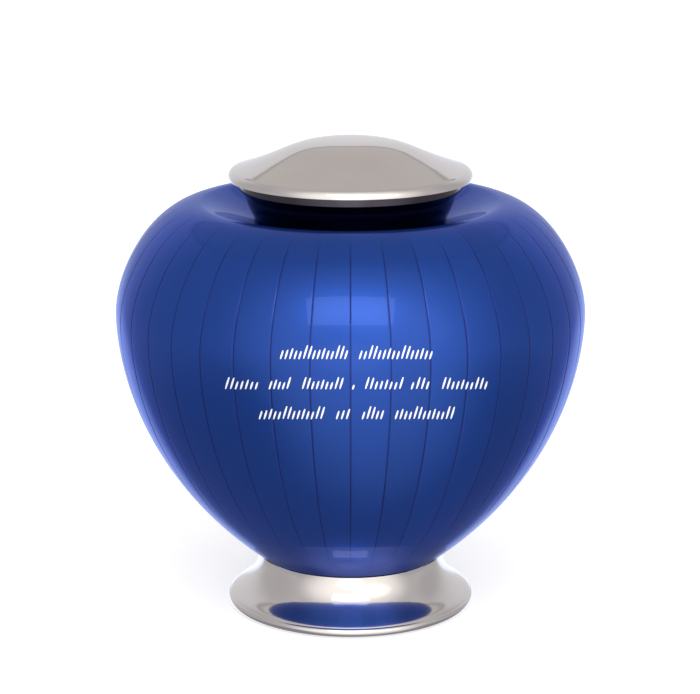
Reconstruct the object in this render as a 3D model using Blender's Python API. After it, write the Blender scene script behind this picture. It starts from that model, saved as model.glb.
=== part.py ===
"""Funeral urn: a hollow panelled body, a neck collar, a lid that lifts off and a flared foot.

Every piece is turned about the Z axis and stands on z = 0, in metres. The front looks along -Y.
Run it with: blender --background --python part.py
"""

import math

import bmesh
import bpy
from mathutils import Vector

# Clearance between pieces that touch
GAP = 0.0003

# Foot
FOOT_HEIGHT = 0.0231
FOOT_EDGE_RADIUS = 0.0538
FOOT_EDGE_HEIGHT = 0.0045
FOOT_EDGE_BULGE = 0.0016
FOOT_EDGE_TUCK = 0.0021
FOOT_FLARE_SLOPE = math.radians(56)
FOOT_WALL = 0.0018
FOOT_LAND = 0.0034

# Body
SEAT_RADIUS = 0.0408
SEAT_SLOPE = math.radians(37)
BELLY_RISE = 0.1094
BELLY_RADIUS = 0.1025
CREST_RISE = 0.0487
CREST_RADIUS = 0.0656
VALLEY_DEPTH = 0.0093
BODY_WALL = 0.0020
BOTTOM_DROP = 0.0042
NECK_RADIUS = 0.0406
NECK_SHELF = 0.0024

# Panels and the grooves between them
PANELS = 39
PANEL_FALL = 0.0001
GROOVE_WIDTH = 0.0010
GROOVE_DEPTH = 0.0005

# Neck collar
COLLAR_RISE = 0.0125
COLLAR_FLARE = 0.0052
COLLAR_WALL = 0.0021
LIP_HEIGHT = 0.0066
LIP_REACH = 0.0029
LIP_ROUND = 0.0008
SPIGOT_DEPTH = 0.0050
SPIGOT_WALL = 0.0016

# Lid
DOME_RISE = 0.0133
BRIM_OVERHANG = 0.0027
BRIM_SLOPE = math.radians(17.4)
BRIM_HEIGHT = 0.0036
BRIM_BULGE = 0.0018
BRIM_FLARE = 0.0017
LID_WALL = 0.0016
SKIRT_WALL = 0.0015
SKIRT_CLEARANCE = 0.0004

# How full each curve is: shares of its span that its two ends reach before it turns away
SEAT_SHARE = 0.94
BELLY_BELOW_SHARE = 0.11
BELLY_ABOVE_SHARE = 0.42
CREST_OUT_SHARE = 0.53
CREST_IN_SHARE = 0.12
VALLEY_SHARE = 0.13
VALLEY_LIFT_SHARE = 0.3
COLLAR_LOW_OUT_SHARE = 0.43
COLLAR_LOW_UP_SHARE = 0.33
COLLAR_HIGH_IN_SHARE = 0.2
COLLAR_HIGH_DOWN_SHARE = 0.35
CROWN_SHARE = 0.53
BRIM_SHARE = 0.51
BRIM_HIGH_SHARE = 0.35
BRIM_LOW_SHARE = 0.5
FOOT_DOWN_SHARE = 0.65
FOOT_EDGE_SHARE = 0.15
FOOT_ROUND_HIGH_SHARE = 0.8
FOOT_ROUND_LOW_SHARE = 0.25

# Columns round each turned piece, and the angle from which an edge is shaded as an edge
COLUMNS = 36
SHARP_ANGLE = math.radians(40)

# Places that follow from the sizes above
BODY_SEAT_Z = FOOT_HEIGHT + GAP / math.cos(SEAT_SLOPE)
BELLY_Z = BODY_SEAT_Z + BELLY_RISE
CREST_Z = BELLY_Z + CREST_RISE
NECK_Z = CREST_Z - VALLEY_DEPTH
OPENING_RADIUS = NECK_RADIUS - NECK_SHELF
COLLAR_Z = NECK_Z + GAP
COLLAR_TOP_Z = COLLAR_Z + COLLAR_RISE
COLLAR_TOP_RADIUS = NECK_RADIUS + COLLAR_FLARE
MOUTH_RADIUS = COLLAR_TOP_RADIUS - COLLAR_WALL
LIP_RADIUS = COLLAR_TOP_RADIUS + LIP_REACH
LIP_TOP_Z = COLLAR_TOP_Z + LIP_REACH + LIP_HEIGHT
BRIM_RADIUS = LIP_RADIUS + BRIM_OVERHANG
BRIM_Z = LIP_TOP_Z + GAP + LID_WALL / math.cos(BRIM_SLOPE) - BRIM_OVERHANG * math.tan(BRIM_SLOPE)


def point(radius, height):
    """A point of a profile, in the plane of X and Z."""
    return Vector((radius, 0, height))


def curve(start, leave, arrive, end, count):
    """Points along one cubic curve, both ends included."""
    points = []
    for i in range(count + 1):
        t = i / count
        s = 1 - t
        points.append(s**3 * start + 3 * s**2 * t * leave + 3 * s * t**2 * arrive + t**3 * end)
    return points


def rounded(before, corner, after, radius, count):
    """Points on the arc that takes the place of a corner."""
    to_before = (before - corner).normalized()
    to_after = (after - corner).normalized()
    half = to_before.angle(to_after) / 2
    middle = corner + (to_before + to_after).normalized() * radius / math.sin(half)
    first = corner + to_before * radius / math.tan(half) - middle
    last = corner + to_after * radius / math.tan(half) - middle
    return [middle + radius * first.slerp(last, i / count) for i in range(count + 1)]


def offset(points, distance):
    """The points moved square to their curve, to the right of its direction."""
    moved = []
    for i, here in enumerate(points):
        along = (points[min(i + 1, len(points) - 1)] - points[max(i - 1, 0)]).normalized()
        moved.append(here + distance * Vector((along.z, 0, -along.x)))
    return moved


def height_at(points, radius):
    """The height of a profile where it passes a radius."""
    for a, b in zip(points, points[1:]):
        if min(a.x, b.x) <= radius <= max(a.x, b.x):
            return a.z + (radius - a.x) / (b.x - a.x) * (b.z - a.z)
    return points[-1].z


def turned(points, closed):
    """A mesh made by turning one profile about the Z axis."""
    mesh = bmesh.new()
    corners = [mesh.verts.new(p) for p in points]
    edges = [mesh.edges.new(pair) for pair in zip(corners, corners[1:])]
    if closed:
        edges.append(mesh.edges.new((corners[-1], corners[0])))
    bmesh.ops.spin(mesh, geom=corners + edges, cent=(0, 0, 0), axis=(0, 0, 1),
                   angle=math.tau, steps=COLUMNS, use_merge=True)
    return mesh


def finish(name, mesh, colour, metallic, roughness):
    """Makes one named object, with its own material, out of a closed mesh."""
    bmesh.ops.remove_doubles(mesh, verts=mesh.verts, dist=1e-6)
    bmesh.ops.recalc_face_normals(mesh, faces=mesh.faces)
    data = bpy.data.meshes.new(name)
    mesh.to_mesh(data)
    mesh.free()
    data.shade_smooth()
    data.set_sharp_from_angle(angle=SHARP_ANGLE)
    material = bpy.data.materials.new(name)
    material.use_nodes = True
    surface = material.node_tree.nodes["Principled BSDF"]
    surface.inputs["Base Color"].default_value = (*colour, 1)
    surface.inputs["Metallic"].default_value = metallic
    surface.inputs["Roughness"].default_value = roughness
    data.materials.append(material)
    bpy.context.scene.collection.objects.link(bpy.data.objects.new(name, data))


def body_profile():
    """The body's outside: points under the seat, points from there to the neck, and the shelf's inner end."""
    seat = point(SEAT_RADIUS, BODY_SEAT_Z)
    belly = point(BELLY_RADIUS, BELLY_Z)
    crest = point(CREST_RADIUS, CREST_Z)
    neck = point(NECK_RADIUS, NECK_Z)
    run_in = BOTTOM_DROP / math.tan(SEAT_SLOPE)
    knee = seat - point(run_in, BOTTOM_DROP)
    bottom = knee - point(run_in, 0)
    under = curve(bottom, bottom.lerp(knee, 2 / 3), seat.lerp(knee, 2 / 3), seat, 2)
    out = SEAT_SHARE * (BELLY_RADIUS - SEAT_RADIUS)
    flank = curve(seat, seat + point(out, out * math.tan(SEAT_SLOPE)),
                  belly - point(0, BELLY_BELOW_SHARE * BELLY_RISE), belly, 6)
    shoulder = curve(belly, belly + point(0, BELLY_ABOVE_SHARE * CREST_RISE),
                     crest + point(CREST_OUT_SHARE * (BELLY_RADIUS - CREST_RADIUS), 0), crest, 5)
    across = CREST_RADIUS - NECK_RADIUS
    valley = curve(crest, crest - point(CREST_IN_SHARE * across, 0),
                   neck + point(VALLEY_SHARE * across, VALLEY_LIFT_SHARE * VALLEY_DEPTH), neck, 3)
    return under[:-1], flank + shoulder[1:] + valley[1:], point(OPENING_RADIUS, NECK_Z)


def panel_ring(mesh, place, share):
    """One ring of the outer skin: the middle of each panel, then the near edge, the bottom and the far edge
    of the groove that follows it."""
    pitch = math.tau / PANELS
    edge = GROOVE_WIDTH / 2 / place.x
    fall = share * PANEL_FALL * place.x / BELLY_RADIUS
    ring = []
    for panel in range(PANELS):
        groove = (panel + 1) * pitch
        for turn, depth in ((groove - pitch / 2, 0), (groove - edge, fall),
                            (groove, fall + share * GROOVE_DEPTH), (groove + edge, fall)):
            radius = place.x - depth
            ring.append(mesh.verts.new((radius * math.sin(turn), -radius * math.cos(turn), place.z)))
    return ring


def plain_ring(mesh, place):
    """One ring without grooves, with a corner behind the middle of each panel."""
    turns = [(panel + 0.5) * math.tau / PANELS for panel in range(PANELS)]
    return [mesh.verts.new((place.x * math.sin(t), -place.x * math.cos(t), place.z)) for t in turns]


def join(mesh, ring, other):
    """Faces between two rings. The first may have several corners for each one of the other."""
    ratio = len(ring) // len(other)
    for i in range(len(other)):
        along = [ring[(ratio * i + k) % len(ring)] for k in range(ratio + 1)]
        mesh.faces.new(along + [other[(i + 1) % len(other)], other[i]])


def build_body():
    under, skin, shelf = body_profile()
    mesh = bmesh.new()
    bottom = [plain_ring(mesh, p) for p in under]
    panels = [panel_ring(mesh, p, 0 if p in (skin[0], skin[-1]) else 1) for p in skin]
    lining = offset(under + skin, -BODY_WALL)[:-1]
    floor = point(under[0].x, under[0].z + BODY_WALL)
    rim = shelf - point(0, BODY_WALL)
    inside = [plain_ring(mesh, p) for p in [shelf, rim] + lining[:0:-1] + [floor]]
    join(mesh, bottom[0], bottom[1])
    join(mesh, panels[0], bottom[1])
    for lower, upper in zip(panels, panels[1:]):
        join(mesh, lower, upper)
    join(mesh, panels[-1], inside[0])
    for upper, lower in zip(inside, inside[1:]):
        join(mesh, upper, lower)
    mesh.faces.new(bottom[0])
    mesh.faces.new(inside[-1])
    bmesh.ops.triangulate(mesh, faces=mesh.faces)
    finish("body", mesh, (0.014, 0.045, 0.26), 0.6, 0.15)


def build_neck_collar():
    spigot = OPENING_RADIUS - GAP
    base = point(NECK_RADIUS, COLLAR_Z)
    top = point(COLLAR_TOP_RADIUS, COLLAR_TOP_Z)
    wall = curve(base, base + point(COLLAR_LOW_OUT_SHARE * COLLAR_FLARE, COLLAR_LOW_UP_SHARE * COLLAR_RISE),
                 top - point(COLLAR_HIGH_IN_SHARE * COLLAR_FLARE, COLLAR_HIGH_DOWN_SHARE * COLLAR_RISE), top, 3)
    chamfer = top + point(LIP_REACH, LIP_REACH)
    outer = point(LIP_RADIUS, LIP_TOP_Z)
    mouth = point(MOUTH_RADIUS, LIP_TOP_Z)
    step = point(MOUTH_RADIUS, COLLAR_TOP_Z)
    bore = point(spigot - SPIGOT_WALL, COLLAR_Z)
    profile = [point(spigot, COLLAR_Z)] + wall
    profile += rounded(top, chamfer, outer, LIP_ROUND, 2)
    profile += rounded(chamfer, outer, mouth, LIP_ROUND, 2)
    profile += rounded(outer, mouth, step, LIP_ROUND, 2)
    profile += [step, point(NECK_RADIUS - COLLAR_WALL, COLLAR_Z + COLLAR_WALL), bore]
    profile += [bore - point(0, BODY_WALL + SPIGOT_DEPTH), point(spigot, bore.z - BODY_WALL - SPIGOT_DEPTH)]
    finish("neck_collar", turned(profile, True), (0.06, 0.055, 0.067), 1.0, 0.12)


def build_lid():
    crease = point(BRIM_RADIUS, BRIM_Z)
    apex = point(0, BRIM_Z + DOME_RISE)
    sweep = BRIM_SHARE * BRIM_RADIUS
    dome = curve(apex, apex + point(CROWN_SHARE * BRIM_RADIUS, 0),
                 crease + point(-sweep, sweep * math.tan(BRIM_SLOPE)), crease, 8)
    edge = crease + point(BRIM_FLARE, -BRIM_HEIGHT)
    bulge = crease + point(BRIM_BULGE, 0)
    band = curve(crease, bulge - point(0, BRIM_HIGH_SHARE * BRIM_HEIGHT),
                 bulge - point(0, BRIM_LOW_SHARE * BRIM_HEIGHT), edge, 3)
    under = offset(dome, LID_WALL)
    skirt = MOUTH_RADIUS - SKIRT_CLEARANCE
    bore = skirt - SKIRT_WALL
    foot = COLLAR_TOP_Z + GAP
    inner = edge.x - LID_WALL
    profile = dome + band[1:] + [point(inner, edge.z), point(inner, height_at(under, inner))]
    profile += [p for p in reversed(under) if skirt + SKIRT_WALL < p.x < inner - LID_WALL]
    profile += [point(skirt, height_at(under, skirt)), point(skirt, foot), point(bore, foot)]
    profile += [point(bore, height_at(under, bore))]
    profile += [p for p in reversed(under) if LID_WALL < p.x < bore - SKIRT_WALL]
    profile += [apex - point(0, LID_WALL)]
    finish("lid", turned(profile, False), (0.62, 0.60, 0.59), 1.0, 0.12)


def build_foot():
    top = point(SEAT_RADIUS, FOOT_HEIGHT)
    crease = point(FOOT_EDGE_RADIUS, FOOT_EDGE_HEIGHT)
    reach = FOOT_EDGE_RADIUS - SEAT_RADIUS
    drop = FOOT_HEIGHT - FOOT_EDGE_HEIGHT
    run = FOOT_EDGE_SHARE * reach
    flare = curve(top, top - point(0, FOOT_DOWN_SHARE * drop),
                  crease + point(-run, run * math.tan(FOOT_FLARE_SLOPE)), crease, 6)
    edge = point(FOOT_EDGE_RADIUS - FOOT_EDGE_TUCK, 0)
    bulge = FOOT_EDGE_RADIUS + FOOT_EDGE_BULGE
    band = curve(crease, point(bulge, FOOT_ROUND_HIGH_SHARE * FOOT_EDGE_HEIGHT),
                 point(bulge, FOOT_ROUND_LOW_SHARE * FOOT_EDGE_HEIGHT), edge, 3)
    under = offset(flare, FOOT_WALL)
    inner = edge.x - FOOT_LAND
    profile = flare + band[1:] + [point(inner, 0), point(inner, height_at(under, inner))]
    profile += [p for p in reversed(under[1:]) if p.x < inner - FOOT_WALL / 2]
    profile += [top - FOOT_WALL * point(math.cos(SEAT_SLOPE), math.sin(SEAT_SLOPE))]
    finish("foot", turned(profile, True), (0.62, 0.60, 0.58), 1.0, 0.12)


for old in list(bpy.data.objects):
    bpy.data.objects.remove(old, do_unlink=True)
build_body()
build_neck_collar()
build_lid()
build_foot()
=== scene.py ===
# %% [markdown]
# # A cremation urn: blue enamel body, bright nickel foot and lid, black nickel collar
#
# The urn stands on a flared foot. Its body is a spun and panelled brass vessel under translucent blue enamel.
# A short collar stands in the neck, and a low domed lid rests on the collar. This lesson builds the fine
# version of each piece around the solid model of the same urn, and gives each one its finish.

import math

import bmesh
import bpy
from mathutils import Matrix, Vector
from mathutils.bvhtree import BVHTree
from mathutils.interpolate import poly_3d_calc


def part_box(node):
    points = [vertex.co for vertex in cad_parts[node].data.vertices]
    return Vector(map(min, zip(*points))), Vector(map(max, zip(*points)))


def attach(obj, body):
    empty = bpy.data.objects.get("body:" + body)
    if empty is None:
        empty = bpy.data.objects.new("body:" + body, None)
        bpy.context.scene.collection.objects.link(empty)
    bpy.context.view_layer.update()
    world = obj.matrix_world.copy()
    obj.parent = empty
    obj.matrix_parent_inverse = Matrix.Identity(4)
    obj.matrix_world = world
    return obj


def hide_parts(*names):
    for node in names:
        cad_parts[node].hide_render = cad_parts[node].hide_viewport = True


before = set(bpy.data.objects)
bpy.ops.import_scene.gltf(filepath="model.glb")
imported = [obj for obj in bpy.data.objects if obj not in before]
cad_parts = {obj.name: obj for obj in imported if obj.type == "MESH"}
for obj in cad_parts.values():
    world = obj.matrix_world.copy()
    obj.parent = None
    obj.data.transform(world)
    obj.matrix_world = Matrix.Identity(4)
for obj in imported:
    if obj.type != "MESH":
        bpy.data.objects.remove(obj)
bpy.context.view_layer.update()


def heights(part):
    """The lowest and the highest point of one solid, in millimetres above the table."""
    low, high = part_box(part)
    return low.z * 1000, high.z * 1000


body_low, body_high = heights("body")
collar_low, collar_high = heights("neck_collar")
lid_low, lid_high = heights("lid")
foot_low, foot_high = heights("foot")
print("body from", round(body_low, 2), "to", round(body_high, 2), "mm, lid up to", round(lid_high, 2), "mm")

# %% [markdown]
# ## Camera
#
# The picture is 700 by 694 pixels. A long lens, 1.2 m from the urn and dipped 14 degrees, gives its flat
# perspective: the lid is seen a little from above, and the foot's ring opens to a narrow ellipse. The camera
# is made first, because the rows of engraving are set straight to it later.

# %% Place the camera
PICTURE = (700, 694)
CAMERA_PLACE = Vector((0, -1.1275, 0.39975))
CAMERA_DIP = math.radians(14.118)
LENS = 135.94
SENSOR = 36
SHIFT = -0.0007
SIGHT_END = 20

lens = bpy.data.cameras.new("camera")
lens.lens = LENS
lens.sensor_width = SENSOR
lens.shift_x = SHIFT
lens.clip_end = SIGHT_END
camera = bpy.data.objects.new("camera", lens)
camera.location = CAMERA_PLACE
camera.rotation_euler = (math.pi / 2 - CAMERA_DIP, 0, 0)
scene = bpy.context.scene
scene.collection.objects.link(camera)
scene.camera = camera
scene.view_settings.view_transform = "Standard"
print("camera", [round(c, 3) for c in CAMERA_PLACE], "dips", round(math.degrees(CAMERA_DIP), 1), "degrees")

# %% [markdown]
# ## Outlines that go once round
#
# Every piece of the urn was turned on a lathe or spun over a wooden form, so each one starts as half an
# outline that goes once round the axis. An outline is drawn with cubic curves between a few measured points.
# Sizes are millimetres, and one function turns them into a point in metres in the plane of X and Z.

# %% Draw outlines
def at(radius, height):
    """A point of an outline, given in millimetres."""
    return Vector((radius, 0, height)) / 1000


def curve(start, leave, arrive, end, count):
    """Points along one cubic curve, both ends included."""
    points = []
    for i in range(count + 1):
        t = i / count
        s = 1 - t
        points.append(s**3 * start + 3 * s**2 * t * leave + 3 * s * t**2 * arrive + t**3 * end)
    return points


def inward(points, wall):
    """The same outline moved square to itself by a wall in millimetres, to the left of its direction."""
    moved = []
    for i, here in enumerate(points):
        along = (points[min(i + 1, len(points) - 1)] - points[max(i - 1, 0)]).normalized()
        moved.append(here + wall / 1000 * Vector((-along.z, 0, along.x)))
    return moved


# %% [markdown]
# The spin makes a ring of points from each point of the outline. Points closer than a thousandth of a
# millimetre are one and the same, so they are merged, and edges sharper than 35 degrees stay crisp.

# %% Spin an outline and place the piece
MERGE = 1e-6
SHARP = math.radians(35)
STEPS = 192


def turned(name, outline, steps, closed=True):
    """A bmesh made by spinning one outline about the Z axis, merged and facing outwards."""
    mesh = bmesh.new()
    corners = [mesh.verts.new(p) for p in outline]
    edges = [mesh.edges.new(pair) for pair in zip(corners, corners[1:])]
    if closed:
        edges.append(mesh.edges.new((corners[-1], corners[0])))
    bmesh.ops.spin(mesh, geom=corners + edges, cent=(0, 0, 0), axis=(0, 0, 1),
                   angle=math.tau, steps=steps, use_merge=True)
    bmesh.ops.remove_doubles(mesh, verts=mesh.verts, dist=MERGE)
    bmesh.ops.recalc_face_normals(mesh, faces=mesh.faces)
    print(name, "has", len(mesh.faces), "faces")
    return mesh


def placed(name, mesh, finish, part):
    """Makes the bmesh a smooth object that stands for one node of the solid model."""
    data = bpy.data.meshes.new(name)
    mesh.to_mesh(data)
    mesh.free()
    data.shade_smooth()
    data.set_sharp_from_angle(angle=SHARP)
    data.materials.append(finish)
    piece = bpy.data.objects.new(name, data)
    scene.collection.objects.link(piece)
    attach(piece, "root")
    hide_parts(part)
    top = max(v.co.z for v in data.vertices) * 1000
    print(name, "reaches", round(top, 2), "mm, its solid", round(heights(part)[1], 2), "mm")
    return piece


# %% [markdown]
# ## Finishes
#
# Colours are written as they are read off a screen, and one function turns them linear. One small function
# adds a shader node with its settings, its values and its links.

# %% Colour and node helpers
def linear(code):
    """A linear RGBA colour from an sRGB hex code."""
    shares = [int(code[i:i + 2], 16) / 255 for i in (1, 3, 5)]
    return (*[s / 12.92 if s <= 0.04045 else ((s + 0.055) / 1.055) ** 2.4 for s in shares], 1)


def wire(tree, made, inputs):
    """Fills a node's inputs: another node's output is linked, and anything else is set as the value."""
    for name, value in inputs.items():
        if isinstance(value, bpy.types.NodeSocket):
            tree.links.new(value, made.inputs[name])
        else:
            made.inputs[name].default_value = value


def node(tree, kind, inputs=None, **settings):
    """Adds a node. The settings come first, because they decide which inputs it has."""
    made = tree.nodes.new(kind)
    for name, value in settings.items():
        setattr(made, name, value)
    wire(tree, made, inputs or {})
    return made


def finish_named(name):
    """A new material: itself, its node tree and its shader."""
    material = bpy.data.materials.new(name)
    material.use_nodes = True
    return material, material.node_tree, material.node_tree.nodes["Principled BSDF"]


# %% [markdown]
# ## Nickel plate
#
# The foot and the lid are brass under bright nickel, a warm white metal. The collar is plated with black
# nickel, which stays glossy but reflects only a small part of the light. Both were buffed on a wheel. That
# leaves hair lines about 0.3 mm apart that run round the piece, and faint soft waves some 15 mm across that
# bend the mirror image a little and make some places a shade duller than others.

# %% Nickel plate, polished on a wheel
WAVE_APART = 15.4
HAIR_APART = 0.303
WAVE_BEND = 0.10
HAIR_BEND = 0.04


def nickel(name, colour, roughness):
    material, tree, shader = finish_named(name)
    place = node(tree, "ShaderNodeTexCoord").outputs["Object"]
    height = node(tree, "ShaderNodeSeparateXYZ", {"Vector": place}).outputs["Z"]
    length = node(tree, "ShaderNodeVectorMath", {0: place}, operation="LENGTH").outputs["Value"]
    round_it = node(tree, "ShaderNodeCombineXYZ", {"X": length, "Z": height}).outputs[0]
    waves = node(tree, "ShaderNodeTexNoise",
                 {"Vector": place, "Scale": 1000 / WAVE_APART, "Detail": 2}).outputs["Fac"]
    hairs = node(tree, "ShaderNodeTexNoise",
                 {"Vector": round_it, "Scale": 1000 / HAIR_APART, "Detail": 1}).outputs["Fac"]
    # The metal's tone drifts by 8 percent, and its polish from brighter to duller, both with the waves.
    pale = linear(colour)
    dull = (*[0.92 * c for c in pale[:3]], 1)
    tone = node(tree, "ShaderNodeMix", {"Factor": waves, "A": pale, "B": dull}, data_type="RGBA")
    polish = node(tree, "ShaderNodeMapRange",
                  {"Value": waves, "To Min": 0.7 * roughness, "To Max": 1.5 * roughness})
    soft = node(tree, "ShaderNodeBump", {"Height": waves, "Strength": WAVE_BEND, "Distance": 0.001})
    fine = node(tree, "ShaderNodeBump", {"Height": hairs, "Strength": HAIR_BEND, "Distance": 0.0001,
                                         "Normal": soft.outputs["Normal"]})
    wire(tree, shader, {"Metallic": 1, "Base Color": tone.outputs["Result"],
                        "Roughness": polish.outputs["Result"], "Normal": fine.outputs["Normal"]})
    print(name, "takes", len(tree.nodes), "nodes")
    return material


bright_nickel = nickel("polished_nickel_plate", "#D3CDCA", 0.06)
dark_nickel = nickel("black_nickel_plate", "#423E46", 0.08)

# %% [markdown]
# ## Body
#
# The body was spun from sheet brass, with 39 shallow panels between fine upright grooves, and flooded with
# translucent enamel. One closed outline runs up the outside, over the rolled shoulder and down into the
# valley round the neck, then back along the inside of the 2 mm wall, so the vessel is really hollow.
#
# Each curve leaves and arrives along a chosen direction. How far it keeps to that direction is written as a
# share of the distance that it has to cover, so the belly stays full and the shoulder round at any size.

# %% Body outline
SEAT_RADIUS = 40.8
BELLY_RADIUS = 102.5
CREST_RADIUS = 65.6
NECK_RADIUS = 40.6
NECK_BORE = 38.2
SEAT_RISE = 4.2
BELLY_RISE = 109.4
NECK_DROP = 9.3
BODY_WALL = 2.0
SEAT_SLOPE = math.radians(37)

seat = at(SEAT_RADIUS, body_low + SEAT_RISE)
belly = seat + at(BELLY_RADIUS - SEAT_RADIUS, BELLY_RISE)
crest = at(CREST_RADIUS, body_high)
neck = at(NECK_RADIUS, body_high - NECK_DROP)
out = 0.94 * (BELLY_RADIUS - SEAT_RADIUS)
over = CREST_RADIUS - NECK_RADIUS
above = 0.42 * (crest.z - belly.z) * 1000
flank = curve(seat, seat + at(out, out * math.tan(SEAT_SLOPE)), belly - at(0, 0.11 * BELLY_RISE), belly, 64)
shoulder = curve(belly, belly + at(0, above), crest + at(0.53 * (BELLY_RADIUS - CREST_RADIUS), 0), crest, 44)
valley = curve(crest, crest - at(0.12 * over, 0), neck + at(0.13 * over, 0.3 * NECK_DROP), neck, 20)
skin = flank + shoulder[1:] + valley[1:]

# The closed bottom bends down from the seat and runs flat to the axis.
bend = SEAT_RISE / math.tan(SEAT_SLOPE)
knee = seat - at(bend, SEAT_RISE)
bottom = knee - at(bend, 0)
under = curve(bottom, bottom.lerp(knee, 2 / 3), seat.lerp(knee, 2 / 3), seat, 6)
lining = inward(under + skin, BODY_WALL)[:-1]
shelf = [at(NECK_BORE, neck.z * 1000), at(NECK_BORE, neck.z * 1000 - BODY_WALL)]
outline = [Vector((0, 0, bottom.z))] + under[:-1] + skin + shelf + lining[::-4]
outline += [Vector((0, 0, bottom.z + BODY_WALL / 1000))]
print("body outline:", len(outline), "points")

# %% [markdown]
# The spin gives each panel twelve columns of points. They are gathered towards the grooves, where they are
# needed, and the outer skin is pushed in there. Panels and grooves fade out towards the foot and the crest.

# %% Spin the body, gather its columns and sink the grooves
PANELS = 39
COLUMNS = (0, 0.018, 0.03, 0.06, 0.16, 0.32, 0.5, 0.68, 0.84, 0.94, 0.97, 0.982)
GROOVE_HALF = 0.45
GROOVE_DEEP = 0.14
CROWN = 0.03
FADE_START = 2
FADE_LONG = 12

mesh = turned("body", outline, PANELS * len(COLUMNS), closed=False)
mesh.normal_update()
panel_turn = math.tau / PANELS
column_turn = panel_turn / len(COLUMNS)


def clamped(share):
    return min(1, max(0, share))


def sunk(share, radius):
    """How far the skin lies below its round shape, in metres, at a share of the way across a panel."""
    side = min(share, 1 - share)
    away = side * panel_turn * radius * 1000
    crown = CROWN / 1000 * (1 - 2 * side) ** 2
    groove = GROOVE_DEEP / 1000 * max(0, 1 - away / GROOVE_HALF) ** 1.5
    return crown + groove


moved = 0
for v in mesh.verts:
    radius = math.hypot(v.co.x, v.co.y)
    if radius < MERGE:
        continue
    panel, column = divmod(round(math.atan2(v.co.x, -v.co.y) / column_turn), len(COLUMNS))
    around = (panel + COLUMNS[column]) * panel_turn
    # Only the outer skin faces away from the axis. The lining inside stays smooth.
    if v.normal.x * v.co.x + v.normal.y * v.co.y > 0:
        from_seat = clamped(((v.co.z - seat.z) * 1000 - FADE_START) / FADE_LONG)
        from_crest = clamped((radius - crest.x) * 1000 / FADE_LONG)
        radius -= from_seat * from_crest * sunk(COLUMNS[column], radius)
        moved += from_seat * from_crest > 0
    v.co.x = radius * math.sin(around)
    v.co.y = -radius * math.cos(around)
print(PANELS, "panels,", moved, "points of the skin sunk")

# %% [markdown]
# ## Blue enamel
#
# Translucent enamel lets the brass below shine through blue. The brass was brushed up and down, so its
# streaks follow the panels: about 0.4 mm apart and some 17 mm long. The melted glass over it is smooth as
# water, so a thin clear coat gives the sharp highlights. Enamel pools in the grooves, where it is thicker and
# looks darker, and each panel took a slightly different amount of it.

# %% Blue enamel over brushed brass
STREAK_APART = 0.41
STREAK_LONG = 16.7
CLOUD_APART = 36
POOL_FULL = 0.158
POOL_GONE = 0.526
CREST_FADE = (172, 180.5)
SEAT_FADE = (44, 28)

enamel, tree, shader = finish_named("blue_enamel_on_brushed_brass")
place = node(tree, "ShaderNodeTexCoord").outputs["Object"]
axes = node(tree, "ShaderNodeSeparateXYZ", {"Vector": place})
height = axes.outputs["Z"]
back = node(tree, "ShaderNodeMath", {0: axes.outputs["Y"], 1: -1}, operation="MULTIPLY")
around = node(tree, "ShaderNodeMath", {0: axes.outputs["X"], 1: back.outputs[0]},
              operation="ARCTAN2").outputs[0]

# Brush streaks, drawn on the angle round the body and the height.
flat = node(tree, "ShaderNodeCombineXYZ", {"X": around, "Z": height})
stretched = node(tree, "ShaderNodeVectorMath",
                 {0: flat.outputs[0], 1: (BELLY_RADIUS / STREAK_APART, 1, 1000 / STREAK_LONG)},
                 operation="MULTIPLY")
streaks = node(tree, "ShaderNodeTexNoise",
               {"Vector": stretched.outputs[0], "Scale": 1, "Detail": 4, "Roughness": 0.65}).outputs["Fac"]

# A sine that is zero at each groove gives the distance to it, and so where the enamel pools.
half_turns = node(tree, "ShaderNodeMath", {0: around, 1: PANELS / 2}, operation="MULTIPLY").outputs[0]
swing = node(tree, "ShaderNodeMath", {0: half_turns}, operation="SINE").outputs[0]
away = node(tree, "ShaderNodeMath", {0: swing}, operation="ABSOLUTE").outputs[0]
swing_per_mm = PANELS / 2 / BELLY_RADIUS
pool = node(tree, "ShaderNodeMapRange",
            {"Value": away, "From Min": POOL_FULL * swing_per_mm, "From Max": POOL_GONE * swing_per_mm},
            interpolation_type="SMOOTHSTEP").outputs["Result"]
near_crest = node(tree, "ShaderNodeMapRange",
                  {"Value": height, "From Min": CREST_FADE[0] / 1000, "From Max": CREST_FADE[1] / 1000})
near_seat = node(tree, "ShaderNodeMapRange",
                 {"Value": height, "From Min": SEAT_FADE[0] / 1000, "From Max": SEAT_FADE[1] / 1000})
ends = node(tree, "ShaderNodeMath",
            {0: near_crest.outputs["Result"], 1: near_seat.outputs["Result"]}, operation="MAXIMUM").outputs[0]
clear = node(tree, "ShaderNodeMath", {0: pool, 1: ends}, operation="MAXIMUM").outputs[0]

# One chance number for each panel sets how much light its coat lets through.
whole = node(tree, "ShaderNodeMath", {0: half_turns, 1: math.pi}, operation="DIVIDE").outputs[0]
number = node(tree, "ShaderNodeMath", {0: whole}, operation="FLOOR").outputs[0]
chance = node(tree, "ShaderNodeTexWhiteNoise", {"W": number}, noise_dimensions="1D").outputs["Value"]
coats = node(tree, "ShaderNodeMapRange", {"Value": chance, "To Min": 0.93, "To Max": 1.05}).outputs["Result"]

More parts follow.
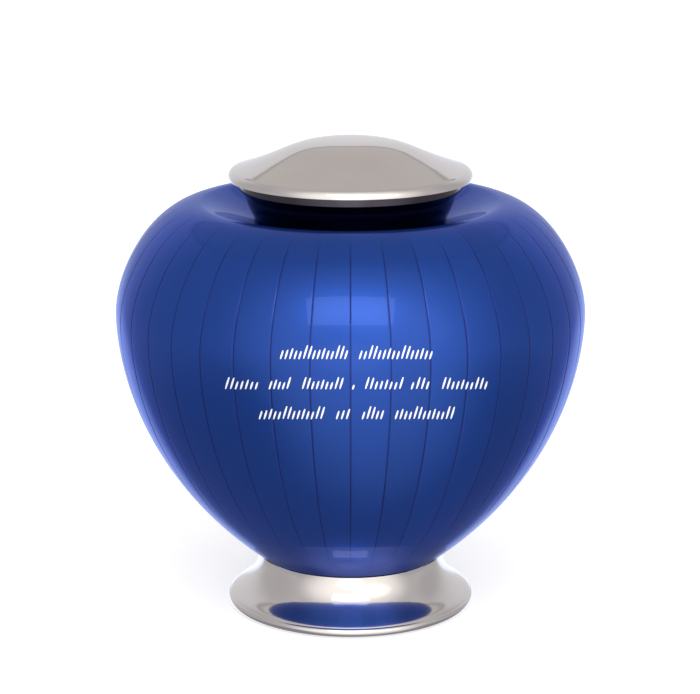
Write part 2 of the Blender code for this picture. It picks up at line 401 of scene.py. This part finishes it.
# The colours: deep and pale blue over the streaks, a cloudy blue between, and near navy in the pools.
clouds = node(tree, "ShaderNodeTexNoise",
              {"Vector": place, "Scale": 1000 / CLOUD_APART, "Detail": 3}).outputs["Fac"]
thin = node(tree, "ShaderNodeMix", {"Factor": streaks, "A": linear("#153A8A"), "B": linear("#204EA6")},
            data_type="RGBA").outputs["Result"]
cloudy = node(tree, "ShaderNodeMix", {"Factor": clouds, "A": thin, "B": linear("#184198")},
              data_type="RGBA").outputs["Result"]
panelled = node(tree, "ShaderNodeVectorMath", {0: cloudy, "Scale": coats},
                operation="SCALE").outputs["Vector"]
colour = node(tree, "ShaderNodeMix", {"Factor": clear, "A": linear("#0F2670"), "B": panelled},
              data_type="RGBA").outputs["Result"]
sheen = node(tree, "ShaderNodeMapRange", {"Value": streaks, "To Min": 0.26, "To Max": 0.40}).outputs["Result"]
brush = node(tree, "ShaderNodeBump", {"Height": streaks, "Strength": 0.12, "Distance": 0.0002})
wire(tree, shader, {"Metallic": 0.85, "Base Color": colour, "Roughness": sheen,
                    "Normal": brush.outputs["Normal"], "Specular Tint": linear("#93B2FF"),
                    "Coat Weight": 0.32, "Coat Roughness": 0.02, "Coat IOR": 1.5})
print("enamel takes", len(tree.nodes), "nodes")

mesh.normal_update()
plain = mesh.copy()
body = placed("enamelled_body", mesh, enamel, "body")

# %% [markdown]
# ## Inscription
#
# Three rows of words are cut through the enamel into the brass and filled with silver lacquer. The words here
# are only groups of slanted pen strokes, with nothing to read. Each stroke is drawn on the picture and thrown
# onto the body along the camera's line of sight, so the rows look level on the round front.

# %% Silver lacquer in the engraving
# Fine metal flake in clear lacquer looks silky white, with a slight sparkle under 0.2 mm.
FLAKE_APART = 0.167

lacquer, tree, shader = finish_named("silver_lacquer_in_engraving")
place = node(tree, "ShaderNodeTexCoord").outputs["Object"]
flake = node(tree, "ShaderNodeTexNoise",
             {"Vector": place, "Scale": 1000 / FLAKE_APART, "Detail": 1}).outputs["Fac"]
silk = node(tree, "ShaderNodeMix", {"Factor": flake, "A": linear("#E4E7EE"), "B": linear("#FAFBFD")},
            data_type="RGBA")
matt = node(tree, "ShaderNodeMapRange", {"Value": flake, "To Min": 0.35, "To Max": 0.55})
grain = node(tree, "ShaderNodeBump", {"Height": flake, "Strength": 0.1, "Distance": 0.00005})
wire(tree, shader, {"Metallic": 0.35, "Base Color": silk.outputs["Result"],
                    "Roughness": matt.outputs["Result"], "Normal": grain.outputs["Normal"]})
print("lacquer takes", len(tree.nodes), "nodes")

# %% Draw the strokes
# Each row gives its foot line and height in picture points, then each word's left and right ends.
ROWS = (
    (360, 16, ((279, 348), (358, 433))),
    (390, 14, ((224, 259), (268, 290), (301, 343), (351, 357), (364, 403), (410, 430), (441, 488))),
    (420, 15, ((258, 324), (335, 350), (361, 384), (394, 454))),
)
# A word's strokes stand 4.7 points apart, lean by a third of their height and differ in height. A word with
# room for one stroke only gets a short one. A stroke is two points wide halfway up and thinner at its ends.
PITCH = 4.7
SLANT = 0.3
HEIGHTS = (1.0, 0.64, 0.7, 0.95, 0.6, 0.8, 0.66)
LONE_HEIGHT = 0.4
PEN = 1.0
PEN_END = 0.45
LEAF_POINTS = 6
ENGRAVED_DEEP = 0.00018
PROUD = 0.0004

skin_tree = BVHTree.FromBMesh(plain)
focus = LENS / SENSOR * PICTURE[0]
middle_x = PICTURE[0] * (0.5 - SHIFT)
middle_y = PICTURE[1] / 2
look = camera.rotation_euler.to_matrix()


def on_body(x, y):
    """Where the camera's ray through a picture point meets the body, and the body's direction there."""
    ray = look @ Vector(((x - middle_x) / focus, (middle_y - y) / focus, -1))
    place, normal, index, distance = skin_tree.ray_cast(CAMERA_PLACE, ray.normalized())
    return place, normal


def stroke(mesh, x, y, tall):
    """A closed leaf-shaped cutter for a pen stroke that starts at a picture point and leans right."""
    rim = []
    for side in (1, -1):
        for i in range(LEAF_POINTS):
            t = (i + 0.5) / LEAF_POINTS
            if side < 0:
                t = 1 - t
            half = PEN * (PEN_END + (1 - PEN_END) * math.sin(math.pi * t))
            rim.append(on_body(x + SLANT * tall * t + side * half, y - tall * t)[0])
    outwards = on_body(x + SLANT * tall / 2, y - tall / 2)[1]
    leaf = mesh.faces.new([mesh.verts.new(p + PROUD * outwards) for p in rim])
    grown = bmesh.ops.extrude_face_region(mesh, geom=[leaf], use_keep_orig=True)["geom"]
    floor = [part for part in grown if isinstance(part, bmesh.types.BMVert)]
    bmesh.ops.translate(mesh, verts=floor, vec=-(PROUD + ENGRAVED_DEEP) * outwards)


strokes = bmesh.new()
total = 0
for foot_line, tall, words in ROWS:
    for left, right in words:
        count = max(1, round((right - left) / PITCH))
        for i in range(count):
            share = HEIGHTS[(i * 3 + left) % len(HEIGHTS)] if count > 1 else LONE_HEIGHT
            stroke(strokes, left + (i + 0.25) * (right - left) / count, foot_line, tall * share)
            total += 1
bmesh.ops.recalc_face_normals(strokes, faces=strokes.faces)
print(total, "strokes drawn,", sum(not e.is_manifold for e in strokes.edges), "open edges")

# %% [markdown]
# The cutters are taken away from the body all at once. They carry the lacquer as their second material, so
# the floor and the walls of every cut come out lacquered, while the rest of the body keeps its enamel.

# %% Cut the strokes
for face in strokes.faces:
    face.material_index = 1
cutter_data = bpy.data.meshes.new("strokes")
cutter_data.materials.append(enamel)
cutter_data.materials.append(lacquer)
strokes.to_mesh(cutter_data)
strokes.free()
body.data.materials.append(lacquer)
cutter = bpy.data.objects.new("strokes", cutter_data)
scene.collection.objects.link(cutter)
cut = body.modifiers.new("engraving", "BOOLEAN")
cut.operation = "DIFFERENCE"
cut.solver = "MANIFOLD"
cut.object = cutter
seen = body.evaluated_get(bpy.context.evaluated_depsgraph_get())
carved = bpy.data.meshes.new_from_object(seen)
body.modifiers.remove(cut)
bpy.data.objects.remove(cutter)
body.data = carved
print("faces of the strokes:", sum(face.material_index == 1 for face in carved.polygons))

# %% Split the many-sided faces
# The cut leaves faces with many corners, some nearly in a line. Splitting them into triangles here keeps them
# from folding over.
split = bmesh.new()
split.from_mesh(carved)
bmesh.ops.triangulate(split, faces=[face for face in split.faces if len(face.verts) > 4])
print("edges not shared by exactly two faces:", sum(not edge.is_manifold for edge in split.edges))
split.to_mesh(carved)
split.free()

# %% Keep the enamel smooth round the strokes
# The cut leaves slivers in the mirror-smooth skin, so each corner there takes the uncut skin's direction.
ENGRAVED_FRONT = -0.07
ENGRAVED_LOW = 0.08
ENGRAVED_HIGH = 0.15

plain.faces.ensure_lookup_table()
normals = [Vector((0, 0, 0))] * len(carved.loops)
smoothed = 0
for face in carved.polygons:
    middle = face.center
    if face.material_index == 1:
        for corner_index in face.loop_indices:
            normals[corner_index] = face.normal.copy()
        continue
    if middle.y > ENGRAVED_FRONT or not ENGRAVED_LOW < middle.z < ENGRAVED_HIGH or face.normal.y > 0:
        continue
    source = plain.faces[skin_tree.find_nearest(middle)[2]]
    places = [v.co for v in source.verts]
    for corner_index in face.loop_indices:
        weights = poly_3d_calc(places, carved.vertices[carved.loops[corner_index].vertex_index].co)
        mixed = sum((w * v.normal for w, v in zip(weights, source.verts)), Vector())
        normals[corner_index] = mixed.normalized()
        smoothed += 1
carved.normals_split_custom_set(normals)
plain.free()
triangles = sum(len(face.vertices) - 2 for face in carved.polygons)
print(smoothed, "corners smoothed, the body has", triangles, "triangles")

# %% [markdown]
# ## Neck collar
#
# The collar was turned from one piece: a spigot that drops into the neck, a wall that widens upwards, and a
# square lip that carries the lid. Its edges were eased with a file, so they catch a thin line of light.

# %% Turn the collar
COLLAR_FOOT = 40.6
COLLAR_TOP = 45.8
LIP_RADIUS = 48.7
LIP_HIGH = 6.6
LIP_REACH = 2.9
COLLAR_WALL = 2.1
SPIGOT_RADIUS = 37.9
SPIGOT_WALL = 1.6
SPIGOT_HIGH = 7.0
EASED = 0.8


def corner(before, tip, after, radius, count=5):
    """Points on the small arc that rounds off a corner. The radius is in millimetres."""
    to_before = (before - tip).normalized()
    to_after = (after - tip).normalized()
    half = to_before.angle(to_after) / 2
    middle = tip + (to_before + to_after).normalized() * radius / 1000 / math.sin(half)
    reach = radius / 1000 / math.tan(half)
    first = tip + to_before * reach - middle
    last = tip + to_after * reach - middle
    return [middle + radius / 1000 * first.slerp(last, i / count) for i in range(count + 1)]


spigot_top = collar_low + SPIGOT_HIGH
lip_low = collar_high - LIP_HIGH
base = at(COLLAR_FOOT, spigot_top)
top = at(COLLAR_TOP, lip_low - LIP_REACH)
wall = curve(base, base + at(2.24, 4.13), top - at(1.04, 4.38), top, 14)
chamfer = at(LIP_RADIUS, lip_low)
outer = at(LIP_RADIUS, collar_high)
mouth = at(COLLAR_TOP - COLLAR_WALL, collar_high)
step_in = at(COLLAR_TOP - COLLAR_WALL, lip_low - LIP_REACH)
throat = at(COLLAR_FOOT - COLLAR_WALL, spigot_top + COLLAR_WALL)
bore = SPIGOT_RADIUS - SPIGOT_WALL
outline = [at(SPIGOT_RADIUS, spigot_top)] + wall + corner(top, chamfer, outer, EASED)
outline += corner(chamfer, outer, mouth, EASED) + corner(outer, mouth, step_in, EASED) + [step_in, throat]
outline += [at(bore, spigot_top), at(bore, collar_low), at(SPIGOT_RADIUS, collar_low)]
placed("turned_collar", turned("collar", outline, STEPS), dark_nickel, "neck_collar")

# %% [markdown]
# ## Lid
#
# The lid is spun sheet: a low dome that sweeps out into an almost flat brim, with an upright band at its
# edge. A skirt inside keeps it centred in the collar. It only rests there and lifts off.

# %% Turn the lid
CREASE_RADIUS = 51.4
DOME_RISE = 13.3
BRIM_SLOPE = math.radians(17.4)
BAND_OUT = 1.7
BAND_HIGH = 3.6
LID_WALL = 1.6
SKIRT_OUT = 43.3
SKIRT_IN = 41.8
SKIRT_CLEAR = 1.5


def height_over(points, radius):
    """The height of an outline where it passes a radius, both in millimetres."""
    for a, b in zip(points, points[1:]):
        if min(a.x, b.x) <= radius / 1000 <= max(a.x, b.x):
            return 1000 * (a.z + (radius / 1000 - a.x) / (b.x - a.x) * (b.z - a.z))
    raise ValueError(f"the outline never passes the radius {radius} mm")


def between(points, low, high):
    """The points of an outline between two radii in millimetres."""
    return [p for p in points if low < p.x * 1000 < high]


crease = at(CREASE_RADIUS, lid_high - DOME_RISE)
apex = at(0, lid_high)
sweep = 0.51 * CREASE_RADIUS
dome = curve(apex, apex + at(0.53 * CREASE_RADIUS, 0),
             crease + at(-sweep, sweep * math.tan(BRIM_SLOPE)), crease, 60)
edge = crease + at(BAND_OUT, -BAND_HIGH)
# The band rolls over from the brim and comes down upright.
band = curve(crease, crease + at(0.9, -0.7), edge + at(0.05, 1.8), edge, 14)
ceiling = inward(dome[::-1], LID_WALL)
inner = Vector((ceiling[0].x, 0, edge.z))
outline = dome + band[1:] + [inner, ceiling[0]]
outline += between(ceiling, SKIRT_OUT + SKIRT_CLEAR, inner.x * 1000 - LID_WALL)
outline += [at(SKIRT_OUT, height_over(ceiling, SKIRT_OUT)), at(SKIRT_OUT, lid_low)]
outline += [at(SKIRT_IN, lid_low), at(SKIRT_IN, height_over(ceiling, SKIRT_IN))]
outline += between(ceiling, LID_WALL, SKIRT_IN - SKIRT_CLEAR) + [apex - at(0, LID_WALL)]
placed("spun_lid", turned("lid", outline, STEPS, closed=False), bright_nickel, "lid")

# %% [markdown]
# ## Foot
#
# The foot is a hollow flared ring, open below. Its edge is rolled over, which stiffens the thin sheet and
# gives it a smooth flat ring to stand on.

# %% Turn the foot
FOOT_CREASE = 53.8
ROLL_RADIUS = 55.4
ROLL_HIGH = 4.5
EDGE_RADIUS = 51.7
LAND = 3.4
FOOT_WALL = 1.8
FOOT_SLOPE = math.radians(56)

foot_top = at(SEAT_RADIUS, foot_high)
foot_crease = at(FOOT_CREASE, foot_low + ROLL_HIGH)
run = 0.15 * (FOOT_CREASE - SEAT_RADIUS)
drop = 0.65 * (foot_high - foot_low - ROLL_HIGH)
flare = curve(foot_top, foot_top - at(0, drop),
              foot_crease + at(-run, run * math.tan(FOOT_SLOPE)), foot_crease, 40)
roll = curve(foot_crease, at(ROLL_RADIUS, foot_low + 0.8 * ROLL_HIGH),
             at(ROLL_RADIUS, foot_low + 0.25 * ROLL_HIGH), at(EDGE_RADIUS, foot_low), 14)
hollow = inward(flare[::-1], FOOT_WALL)
land_in = EDGE_RADIUS - LAND
outline = flare + roll[1:] + [at(land_in, foot_low), at(land_in, height_over(hollow, land_in))]
outline += between(hollow[:-1], 0, land_in - FOOT_WALL / 2)
outline += [foot_top - at(FOOT_WALL * math.cos(SEAT_SLOPE), FOOT_WALL * math.sin(SEAT_SLOPE))]
placed("spun_foot", turned("foot", outline, STEPS), bright_nickel, "foot")

# %% [markdown]
# ## Studio
#
# Shiny metal shows what stands round it, so the studio is part of the finish: a pale tent, brightest on the
# camera's side, and one large soft window high in front. The floor is white paper with a little light of its
# own, so that the urn's shadow stays soft. The metal doesn't show it: it shows the tent's lower half.

# %% Floor
FLOOR_HALF = 4
FLOOR_GAP = 0.0003

paper, tree, shader = finish_named("white_paper")
wire(tree, shader, {"Base Color": (0.8, 0.8, 0.8, 1), "Roughness": 0.9, "Specular IOR Level": 0,
                    "Emission Color": (1, 1, 1, 1), "Emission Strength": 0.5})
grid = bmesh.new()
bmesh.ops.create_grid(grid, x_segments=1, y_segments=1, size=FLOOR_HALF)
floor_data = bpy.data.meshes.new("floor")
grid.to_mesh(floor_data)
grid.free()
floor_data.materials.append(paper)
floor = bpy.data.objects.new("floor", floor_data)
floor.location.z = -FLOOR_GAP
floor.visible_glossy = False
scene.collection.objects.link(floor)
print("floor is", 2 * FLOOR_HALF, "m wide")

# %% Tent of pale light
world = bpy.data.worlds.new("tent")
scene.world = world
world.use_nodes = True
tree = world.node_tree
way = node(tree, "ShaderNodeTexCoord").outputs["Generated"]
tent = node(tree, "ShaderNodeRGB").outputs[0]
tent.default_value = (0.36, 0.36, 0.38, 1)


def direction(azimuth, height):
    """A direction from the urn. Angles are in degrees, and azimuth 0 is the camera's side."""
    a, e = math.radians(azimuth), math.radians(height)
    return Vector((math.sin(a) * math.cos(e), -math.cos(a) * math.cos(e), math.sin(e)))


def painted(tent, azimuth, height, full, gone, colour):
    """Paints a round patch on the tent: the colour is full inside one angle and gone at another."""
    dot = node(tree, "ShaderNodeVectorMath", {0: way, 1: direction(azimuth, height)}, operation="DOT_PRODUCT")
    share = node(tree, "ShaderNodeMapRange",
                 {"Value": dot.outputs["Value"], "From Min": math.cos(math.radians(gone)),
                  "From Max": math.cos(math.radians(full))}, interpolation_type="SMOOTHSTEP")
    patch = node(tree, "ShaderNodeMix", {"Factor": share.outputs["Result"], "A": tent, "B": (*colour, 1)},
                 data_type="RGBA")
    return patch.outputs["Result"]


# Each patch: azimuth, height, where its colour is full and where it is gone, in degrees, and its colour.
PATCHES = (
    (0, 90, 95, 125, (0.68, 0.67, 0.69)),  # the upper half of the tent
    (-108, 14, 15, 42, (0.60, 0.60, 0.61)),  # darker cloth on the left
    (118, 14, 15, 36, (0.58, 0.58, 0.59)),  # and on the right
    (180, 20, 24, 62, (0.86, 0.86, 0.90)),  # the wall behind, which the dome's far side shows
    (180, 64, 37.2, 39.6, (0.45, 0.44, 0.44)),  # a dark seam, the thin arc on the dome
    (180, 64, 35.4, 37.9, (0.68, 0.66, 0.65)),  # the cloth above that seam
    (180, -23, 12, 25, (1.15, 1.25, 1.65)),  # cool light from low behind
    (-156, -20, 6, 20, (1.25, 1.4, 1.8)),  # and to both sides of it, on the body's edges
    (156, -20, 6, 20, (1.25, 1.4, 1.8)),
    (15, -30, 15, 56, (0.95, 0.94, 0.91)),  # the table in front, in the lower body and the foot
    (5, 12, 15, 74, (1.6, 1.58, 1.54)),  # the bright open front of the tent
    (26, 20, 3, 28, (1.9, 1.88, 1.85)),  # brightest to the right of the camera
    (0, -2, 10, 20, (2.0, 1.98, 1.94)),  # and level with the urn, on the upright bands
)
for patch in PATCHES:
    tent = painted(tent, *patch)
wire(tree, tree.nodes["Background"], {"Color": tent})
print(len(PATCHES), "patches painted on the tent")

# %% Window
# A soft light of 1.08 by 0.58 m, 1.6 m away and high in front, makes the highlight on the upper body.
WINDOW_HEIGHT = 36.5
WINDOW_AWAY = 1.6
WINDOW_AIM = Vector((0, 0, 0.12))

pane = bpy.data.lights.new("window", "AREA")
pane.shape = "RECTANGLE"
pane.size = 1.08
pane.size_y = 0.58
pane.energy = 4.2
window = bpy.data.objects.new("window", pane)
window.location = direction(0, WINDOW_HEIGHT) * WINDOW_AWAY + WINDOW_AIM
window.rotation_euler = direction(0, WINDOW_HEIGHT).to_track_quat("Z", "Y").to_euler()
scene.collection.objects.link(window)
print("window at", [round(c, 2) for c in window.location], "m")
